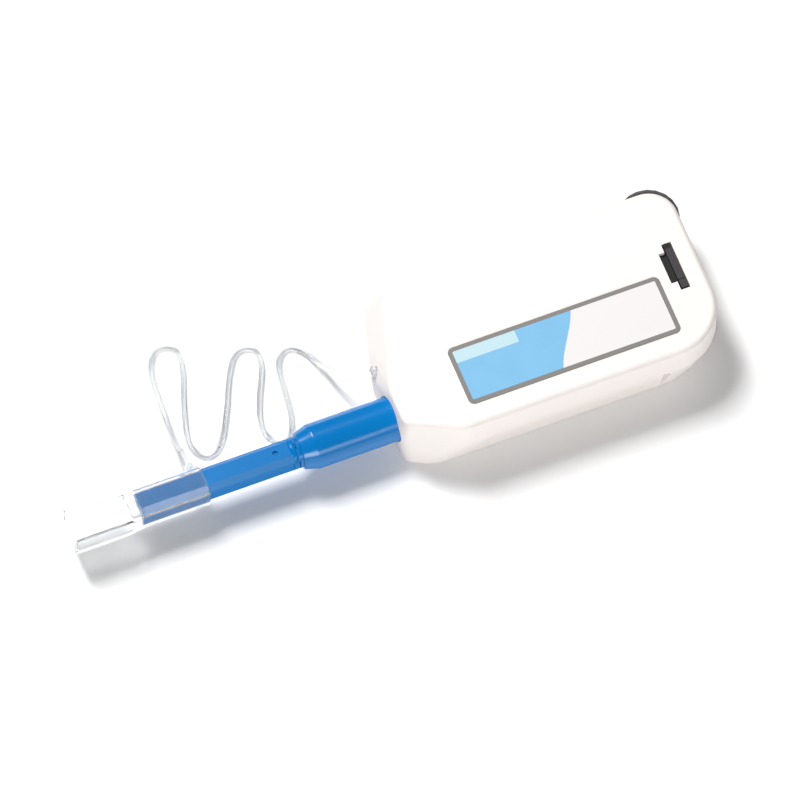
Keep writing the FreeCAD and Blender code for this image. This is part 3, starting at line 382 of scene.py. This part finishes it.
def photo_axes():
    """The camera's right, up and backward directions."""
    back = Vector(VIEW_BACK).normalized()
    right = Vector(VIEW_RIGHT)
    right = (right - back * right.dot(back)).normalized()
    return right, back.cross(right), back


class PEN_OT_stage(bpy.types.Operator):
    """Make the floor, the soft lights, the world and the camera."""
    bl_idname = "pen.stage"
    bl_label = "Stage"

    def execute(self, context):
        self.add_camera(context.scene)
        self.add_floor(context)
        for lamp in LAMPS:
            self.add_lamp(context.scene, *lamp)
        self.add_world(context.scene)
        context.scene.view_settings.view_transform = "Standard"
        return {"FINISHED"}

    def add_camera(self, scene):
        """A long lens, so that lines stay as parallel as in the photograph."""
        sizes = scene.pen_sizes
        right, up, back = photo_axes()
        target = Vector(VIEW_TARGET)
        data = bpy.data.cameras.new("pen_camera")
        data.sensor_width = 36.0
        data.lens = data.sensor_width * sizes.camera_distance / sizes.view_width
        data.clip_start = 0.01
        data.clip_end = 20.0
        camera = bpy.data.objects.new("pen_camera", data)
        scene.collection.objects.link(camera)
        turn = Matrix((right, up, back)).transposed().to_4x4()
        camera.matrix_world = Matrix.Translation(target + back * sizes.camera_distance) @ turn
        scene.camera = camera

    def add_floor(self, context):
        """White paper with a faint glow that only the camera and clear or glossy parts see."""
        deselect_everything()
        bpy.ops.mesh.primitive_plane_add(size=4.0, location=(0.0, 0.0, CAD_BOX[0][2] - 0.00002))
        floor = context.object
        floor.name = "stage_floor"
        material, tree, shader = node_tree("floor_paper")
        shader.inputs["Base Color"].default_value = (FLOOR_GREY, FLOOR_GREY, FLOOR_GREY, 1.0)
        shader.inputs["Roughness"].default_value = 0.9
        shader.inputs["Specular IOR Level"].default_value = 0.1
        glow = tree.nodes.new("ShaderNodeEmission")
        glow.inputs["Strength"].default_value = 1.0
        rays = tree.nodes.new("ShaderNodeLightPath")
        seen = reckon(tree, "MAXIMUM", rays.outputs["Is Camera Ray"], rays.outputs["Is Glossy Ray"])
        seen = reckon(tree, "MAXIMUM", seen, rays.outputs["Is Transmission Ray"])
        share = reckon(tree, "MULTIPLY", seen, FLOOR_GLOW)
        mix = tree.nodes.new("ShaderNodeMixShader")
        tree.links.new(share, mix.inputs["Fac"])
        tree.links.new(shader.outputs["BSDF"], mix.inputs[1])
        tree.links.new(glow.outputs["Emission"], mix.inputs[2])
        tree.links.new(mix.outputs["Shader"], tree.nodes["Material Output"].inputs["Surface"])
        paint(floor, material)

    def add_lamp(self, scene, name, place, size, watts):
        """One soft rectangular lamp that faces the pen."""
        lamp = bpy.data.lights.new(name, "AREA")
        lamp.shape = "RECTANGLE"
        lamp.size, lamp.size_y = size
        lamp.energy = watts
        holder = bpy.data.objects.new(name, lamp)
        scene.collection.objects.link(holder)
        aim = (Vector(LAMP_TARGET) - Vector(place)).to_track_quat("-Z", "Y")
        holder.matrix_world = Matrix.Translation(place) @ aim.to_matrix().to_4x4()

    def add_world(self, scene):
        """A dim white world that looks fully white to the camera."""
        world = bpy.data.worlds.new("studio_air")
        scene.world = world
        world.use_nodes = True
        air = world.node_tree
        ground = air.nodes["Background"]
        ground.inputs["Color"].default_value = (1.0, 1.0, 1.0, 1.0)
        rays = air.nodes.new("ShaderNodeLightPath")
        strength = air.nodes.new("ShaderNodeMapRange")
        strength.inputs["To Min"].default_value = WORLD_LIGHT
        strength.inputs["To Max"].default_value = 1.0
        air.links.new(rays.outputs["Is Camera Ray"], strength.inputs["Value"])
        air.links.new(strength.outputs["Result"], ground.inputs["Strength"])


# ------------------------------------------------------------------ tether

class PEN_OT_tether(bpy.types.Operator):
    """Make the clear cord in two lengths, one to the floor and one to the cap."""
    bl_idname = "pen.tether"
    bl_label = "Tether"

    def execute(self, context):
        sizes = context.scene.pen_sizes
        path = self.smooth_route()
        middle = len(path) * BODY_RUN_POINTS // len(TETHER_ROUTE)
        material = clear("cord_nylon", (0.97, 0.98, 0.985), 0.04, 0.06, bend=1.16, shine=0.3)
        whole = (("tether_cord_body_run", path[:middle + 1], "housing", "nozzle"),
                 ("tether_cord_cap_run", path[middle:], "nozzle", "cap"))
        for name, points, start_body, end_body in whole:
            tube = self.tube(name, points, sizes.cord_diameter / 2)
            paint(tube, material)
            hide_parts("tether_cord")
            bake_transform(tube)
        return {"FINISHED"}

    def smooth_route(self):
        """Closely spaced points on a smooth line along the route."""
        data = bpy.data.curves.new("tether_line", "CURVE")
        data.dimensions = "3D"
        data.resolution_u = 10
        spline = data.splines.new("NURBS")
        spline.points.add(len(TETHER_ROUTE) - 1)
        for point, (x, y, z) in zip(spline.points, TETHER_ROUTE):
            point.co = ((x - HALF_BODY) * MM, y * MM, z * MM, 1.0)
        spline.order_u = 3
        spline.use_endpoint_u = True
        line = bpy.data.objects.new("tether_line", data)
        sampled = bpy.data.meshes.new_from_object(line)
        path = [tuple(vertex.co) for vertex in sampled.vertices]
        bpy.data.meshes.remove(sampled)
        bpy.data.objects.remove(line)
        return path

    def tube(self, name, points, radius):
        """A round tube along points, from a curve made a mesh."""
        data = bpy.data.curves.new(name, "CURVE")
        data.dimensions = "3D"
        data.bevel_depth = radius
        data.bevel_resolution = 3
        data.use_fill_caps = True
        spline = data.splines.new("POLY")
        spline.points.add(len(points) - 1)
        for point, place in zip(spline.points, points):
            point.co = (*place, 1.0)
        tube = bpy.data.objects.new(name, data)
        bpy.context.scene.collection.objects.link(tube)
        pick(tube)
        bpy.ops.object.convert(target="MESH")
        bpy.ops.object.shade_smooth()
        return bpy.context.object


# ------------------------------------------------------------------ housing and label

class PEN_OT_housing(bpy.types.Operator):
    """Finish the ivory shells and the bead."""
    bl_idname = "pen.housing"
    bl_label = "Housing"

    def execute(self, context):
        colours = context.scene.pen_colours
        ivory = moulded("ivory_abs", tuple(colours.ivory), 0.42, grain=2600.0, mottle=0.012,
                        bump_strength=0.10)
        paint(NODES["top_shell"], ivory)
        paint(NODES["bottom_shell"], ivory)
        paint(NODES["tether_bead"], clear("bead_clear", (0.95, 0.96, 0.97), 0.08, 0.35))
        return {"FINISHED"}


class PEN_OT_label(bpy.types.Operator):
    """Finish the bare label with its blue and white fields and grey line."""
    bl_idname = "pen.label"
    bl_label = "Label"

    def execute(self, context):
        colours = context.scene.pen_colours
        border = context.scene.pen_sizes.label_border
        low, high = (Vector(corner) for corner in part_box("label_plate"))
        middle = (low + high) / 2
        half = (high - low) / 2
        material, tree, shader = node_tree("label_film")
        place, axes = object_axes(tree)
        across = reckon(tree, "SUBTRACT", axes["X"], middle.x)
        along = reckon(tree, "SUBTRACT", axes["Y"], middle.y)
        # the grey line: distance out from an edge with rounded corners
        corner = 1.0 * MM
        squares = []
        for offset, reach in ((across, half.x), (along, half.y)):
            past = reckon(tree, "SUBTRACT", reckon(tree, "ABSOLUTE", offset), reach - corner)
            squares.append(reckon(tree, "POWER", reckon(tree, "MAXIMUM", past, 0.0), 2.0))
        out = reckon(tree, "SQRT", reckon(tree, "ADD", *squares))
        on_border = reckon(tree, "GREATER_THAN", reckon(tree, "SUBTRACT", out, corner), -border)
        # the S-shaped end of the blue field
        edge_middle, edge_swing, edge_bend = 0.5 * MM, 2.8 * MM, 1.2
        height = reckon(tree, "DIVIDE", along, half.y)
        wave = reckon(tree, "SINE", reckon(tree, "MULTIPLY", height, edge_bend))
        edge = reckon(tree, "ADD", reckon(tree, "MULTIPLY", wave, edge_swing), edge_middle)
        is_blue = reckon(tree, "LESS_THAN", across, edge)
        # the pale strip in the blue field's far left corner
        strip_length, strip_width = 11.3 * MM, 2.9 * MM
        strip_y = reckon(tree, "GREATER_THAN", along, half.y - strip_width)
        strip_x = reckon(tree, "LESS_THAN", across, strip_length - half.x)
        strip = reckon(tree, "MULTIPLY", strip_y, strip_x)
        cloud = noise(tree, place, 160.0)
        blue = ramp(tree, cloud, [(0.3, shade(colours.label_blue, 0.97)),
                                  (0.7, shade(colours.label_blue, 1.03))])
        current = mixed(tree, is_blue, LABEL_WHITE, blue)
        current = mixed(tree, strip, current, LABEL_STRIP)
        current = mixed(tree, on_border, current, tuple(colours.label_grey))
        tree.links.new(current, shader.inputs["Base Color"])
        fine = noise(tree, place, 1500.0)
        tree.links.new(level(tree, fine, 0.35, 0.45), shader.inputs["Roughness"])
        shader.inputs["Specular IOR Level"].default_value = 0.12
        bump(tree, shader, fine, 0.05, 0.00001)
        paint(NODES["label_plate"], material)
        return {"FINISHED"}


# ------------------------------------------------------------------ nozzle and cap

class PEN_OT_nozzle(bpy.types.Operator):
    """Finish the blue sleeve and tube."""
    bl_idname = "pen.nozzle"
    bl_label = "Nozzle"

    def execute(self, context):
        blue = tuple(context.scene.pen_colours.blue)
        gloss = {"grain": 3000.0, "mottle": 0.03, "bump_strength": 0.03}
        paint(NODES["nozzle_sleeve"], moulded("nozzle_blue", blue, 0.17, shine=0.5, **gloss))
        tube_blue = moulded("tube_blue", blue, 0.2, shine=0.2, **gloss)
        paint(NODES["nozzle_tube"], tube_blue)
        low, high = (Vector(corner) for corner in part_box("nozzle_sleeve"))
        radius, depth, seat = 2.57 * MM, 1.1 * MM, 0.56 * MM
        deselect_everything()
        bpy.ops.mesh.primitive_cylinder_add(
            vertices=48, radius=radius, depth=depth,
            location=(low.x - seat, 0.0, (low.z + high.z) / 2), rotation=(0.0, math.pi / 2, 0.0))
        collar = context.object
        collar.name = "tube_collar"
        settle()
        bevel(collar, 0.35 * MM, 4)
        bpy.ops.object.shade_smooth_by_angle(angle=math.radians(35.0))
        paint(collar, tube_blue)
        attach(collar, "nozzle")
        return {"FINISHED"}


class PEN_OT_guide_cap(bpy.types.Operator):
    """Finish the clear guide cap and its lug."""
    bl_idname = "pen.guide_cap"
    bl_label = "Guide Cap"

    def execute(self, context):
        material = clear("cap_clear", (0.975, 0.985, 0.995), 0.03, 0.035, bend=1.25, shine=0.12)
        paint(NODES["guide_cap"], material)
        paint(NODES["cap_lug"], material)
        return {"FINISHED"}


# ------------------------------------------------------------------ dial and frame

class PEN_OT_dial(bpy.types.Operator):
    """Model the thumb dial: a bevelled wheel with coarse flutes over its pinion."""
    bl_idname = "pen.dial"
    bl_label = "Dial"

    def execute(self, context):
        low, high = (Vector(corner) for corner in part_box("take_up_dial"))
        middle = (low + high) / 2
        radius = (high.y - low.y) / 2
        base = low.z + 1.3 * MM
        sides, lap, pinion_radius = 20, 0.1 * MM, 2.6 * MM
        wheel = self.prism("dial_wheel", middle, base, high.z, radius, sides)
        self.bevel_top(wheel)
        self.flute(wheel, 0.45 * MM)
        pinion = self.prism("dial_pinion", middle, low.z, base + lap, pinion_radius, sides)
        self.flute(pinion, 0.55 * MM)
        deselect_everything()
        pinion.select_set(True)
        wheel.select_set(True)
        context.view_layer.objects.active = wheel
        bpy.ops.object.join()
        wheel = context.object
        graphite = tuple(context.scene.pen_colours.graphite)
        paint(wheel, moulded("dial_graphite", shade(graphite, 4.0), 0.5, grain=1800.0,
                             mottle=0.10, bump_strength=0.2, shine=0.25))
        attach(wheel, "dial")
        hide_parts("take_up_dial")
        return {"FINISHED"}

    def prism(self, name, middle, base, top, radius, sides):
        """An upright prism over the dial's axis."""
        deselect_everything()
        bpy.ops.mesh.primitive_cylinder_add(vertices=sides, radius=radius, depth=top - base,
                                            location=(middle.x, middle.y, (base + top) / 2))
        piece = bpy.context.object
        piece.name = name
        return piece

    def flute(self, piece, depth):
        """Sink every second upright side into a flute and soften the edges."""
        select_none("FACE")
        upright = [face for face in piece.data.polygons if abs(face.normal.z) < 0.1]
        upright.sort(key=lambda face: math.atan2(face.center.y, face.center.x))
        for face in upright[::2]:
            face.select = True
        bpy.ops.object.mode_set(mode="EDIT")
        bpy.ops.mesh.inset(thickness=0.16 * MM, depth=-depth, use_individual=True)
        bpy.ops.object.mode_set(mode="OBJECT")
        settle()
        bevel(piece, 0.08 * MM, 2)

    def bevel_top(self, piece):
        """Draw the wheel's top in and lower its rim, for a broad bevel."""
        select_none("FACE")
        for face in piece.data.polygons:
            face.select = face.normal.z > 0.9
        bpy.ops.object.mode_set(mode="EDIT")
        bpy.ops.mesh.extrude_region_move()
        bpy.ops.transform.resize(value=(0.84, 0.84, 1.0))
        select_none("VERT")
        rim = max(vertex.co.x ** 2 + vertex.co.y ** 2 for vertex in piece.data.vertices)
        ceiling = max(vertex.co.z for vertex in piece.data.vertices)
        for vertex in piece.data.vertices:
            outer = vertex.co.x ** 2 + vertex.co.y ** 2 > rim * 0.9
            vertex.select = outer and vertex.co.z > ceiling - 1e-6
        bpy.ops.object.mode_set(mode="EDIT")
        bpy.ops.transform.translate(value=(0.0, 0.0, -0.7 * MM))
        bpy.ops.object.mode_set(mode="OBJECT")


class PEN_OT_frame(bpy.types.Operator):
    """Finish the inner frame, with painted light making the snap bar's top face lighter than its
    stem.
    """
    bl_idname = "pen.frame"
    bl_label = "Frame"

    def execute(self, context):
        graphite = tuple(context.scene.pen_colours.graphite)
        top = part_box("inner_chassis")[1][2]
        lit_top_depth, bar_end, seam_place, seam_half = 0.05 * MM, 9.1 * MM, 3.3 * MM, 0.12 * MM
        material = moulded("frame_graphite", graphite, 0.5, grain=1800.0, mottle=0.08,
                           bump_strength=0.2, shine=0.2)
        tree = material.node_tree
        colour = tree.nodes["Principled BSDF"].inputs["Base Color"]
        axes = object_axes(tree)[1]
        # painted light: the bar's top face, short of bar_end, is made 3.6 times lighter than the
        # stem as if lit from above; a thin line along the seam keeps the plain dark colour
        face = reckon(tree, "GREATER_THAN", axes["Z"], top - lit_top_depth)
        seam = reckon(tree, "ABSOLUTE", reckon(tree, "SUBTRACT", axes["Y"], seam_place))
        clean = reckon(tree, "GREATER_THAN", seam, seam_half)
        inner = reckon(tree, "LESS_THAN", axes["Y"], bar_end)
        share = reckon(tree, "MULTIPLY", reckon(tree, "MULTIPLY", face, clean), inner)
        plain = colour.links[0].from_socket
        tree.links.new(mixed(tree, share, plain, shade(graphite, 3.6)), colour)
        paint(NODES["inner_chassis"], material)
        return {"FINISHED"}


# ------------------------------------------------------------------ mechanism

class PEN_OT_spring(bpy.types.Operator):
    """Wind the return spring as one fixed coil; the real spring shortens as the nozzle is pushed
    in.
    """
    bl_idname = "pen.spring"
    bl_label = "Spring"

    def execute(self, context):
        low, high = (Vector(corner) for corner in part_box("return_spring"))
        wire, coil_radius, turns = 0.25 * MM, 2.5 * MM, 6
        run = high.x - low.x - 2 * wire
        deselect_everything()
        bpy.ops.mesh.primitive_circle_add(vertices=12, radius=wire)
        spring = context.object
        spring.name = "spring_coil"
        select_mesh()
        stand_section((0.0, 0.0, coil_radius))
        sweep(spring, 28, axis="X", iterations=turns, screw_offset=run / turns)
        select_mesh()
        bpy.ops.mesh.fill_holes(sides=0)
        bpy.ops.object.mode_set(mode="OBJECT")
        start = min(vertex.co.x for vertex in spring.data.vertices)
        spring.location = (low.x - start, 0.0, (low.z + high.z) / 2)
        settle()
        bpy.ops.object.shade_smooth_by_angle(angle=math.radians(40.0))
        paint(spring, steel("spring_steel"))
        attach(spring, "housing")
        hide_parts("return_spring")
        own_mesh(spring)
        return {"FINISHED"}


class PEN_OT_washer(bpy.types.Operator):
    """Turn the felt washer, a hair thinner than its place so the reel turns free."""
    bl_idname = "pen.washer"
    bl_label = "Washer"

    def execute(self, context):
        low, high = (Vector(corner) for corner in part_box("brake_washer"))
        slack, inner = 0.02 * MM, 0.87 * MM
        outer = (high.x - low.x) / 2 - slack
        height = high.z - low.z - 2 * slack
        deselect_everything()
        bpy.ops.mesh.primitive_plane_add(size=1.0)
        washer = context.object
        washer.name = "felt_washer"
        select_mesh()
        bpy.ops.transform.resize(value=(outer - inner, height, 1.0))
        bpy.ops.mesh.bevel(offset=0.06 * MM, segments=2, affect="VERTICES")
        stand_section(((outer + inner) / 2, 0.0, 0.0))
        sweep(washer, 48, use_merge_vertices=True, merge_threshold=0.001 * MM)
        washer.location = (low + high) / 2
        settle()
        paint(washer, cloth("felt_grey", FELT_GREY, 900.0))
        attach(washer, "housing")
        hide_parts("brake_washer")
        return {"FINISHED"}


class PEN_OT_mechanism(bpy.types.Operator):
    """Finish the pieces inside."""
    bl_idname = "pen.mechanism"
    bl_label = "Mechanism"

    def execute(self, context):
        white = moulded("acetal_white", ACETAL_WHITE, 0.4)
        metal = steel("drawn_steel")
        thread = cloth("micro_fibre", FIBRE_WHITE, 1500.0)
        for name in ("drive_slide", "tip_shaft", "spiral_barrel", "tip_head", "supply_reel",
                     "take_up_reel", "ratchet_pawl"):
            paint(NODES[name], white)
        for name in ("cam_pin", "supply_axle", "take_up_axle", "dial_axle", "thread_guide_pins"):
            paint(NODES[name], metal)
        for name in ("supply_winding", "take_up_winding", "feed_thread", "return_thread"):
            paint(NODES[name], thread)
        return {"FINISHED"}


STEPS = (PEN_OT_stage, PEN_OT_tether, PEN_OT_housing, PEN_OT_label, PEN_OT_nozzle,
         PEN_OT_guide_cap, PEN_OT_dial, PEN_OT_frame, PEN_OT_spring, PEN_OT_washer,
         PEN_OT_mechanism)


class PEN_PT_panel(bpy.types.Panel):
    """Lists the pen's pieces, sizes and colours."""
    bl_idname = "PEN_PT_panel"
    bl_label = "Cleaning Pen"
    bl_space_type = "VIEW_3D"
    bl_region_type = "UI"
    bl_category = "Cleaning Pen"

    def draw(self, context):
        for group in (context.scene.pen_sizes, context.scene.pen_colours):
            for name in group.bl_rna.properties.keys():
                if name not in ("rna_type", "name"):
                    self.layout.prop(group, name)
        for step in STEPS:
            self.layout.operator(step.bl_idname)


CLASSES = (PenSizes, PenColours, *STEPS, PEN_PT_panel)


def register():
    """Add the operators, the panel and the settings."""
    for kind in CLASSES:
        bpy.utils.register_class(kind)
    bpy.types.Scene.pen_sizes = bpy.props.PointerProperty(type=PenSizes)
    bpy.types.Scene.pen_colours = bpy.props.PointerProperty(type=PenColours)


def unregister():
    """Take them away again."""
    del bpy.types.Scene.pen_colours
    del bpy.types.Scene.pen_sizes
    for kind in reversed(CLASSES):
        bpy.utils.unregister_class(kind)


def main():
    """Run every step."""
    register()
    for step in STEPS:
        area, name = step.bl_idname.split(".")
        getattr(getattr(bpy.ops, area), name)()


if __name__ == "__main__":
    main()
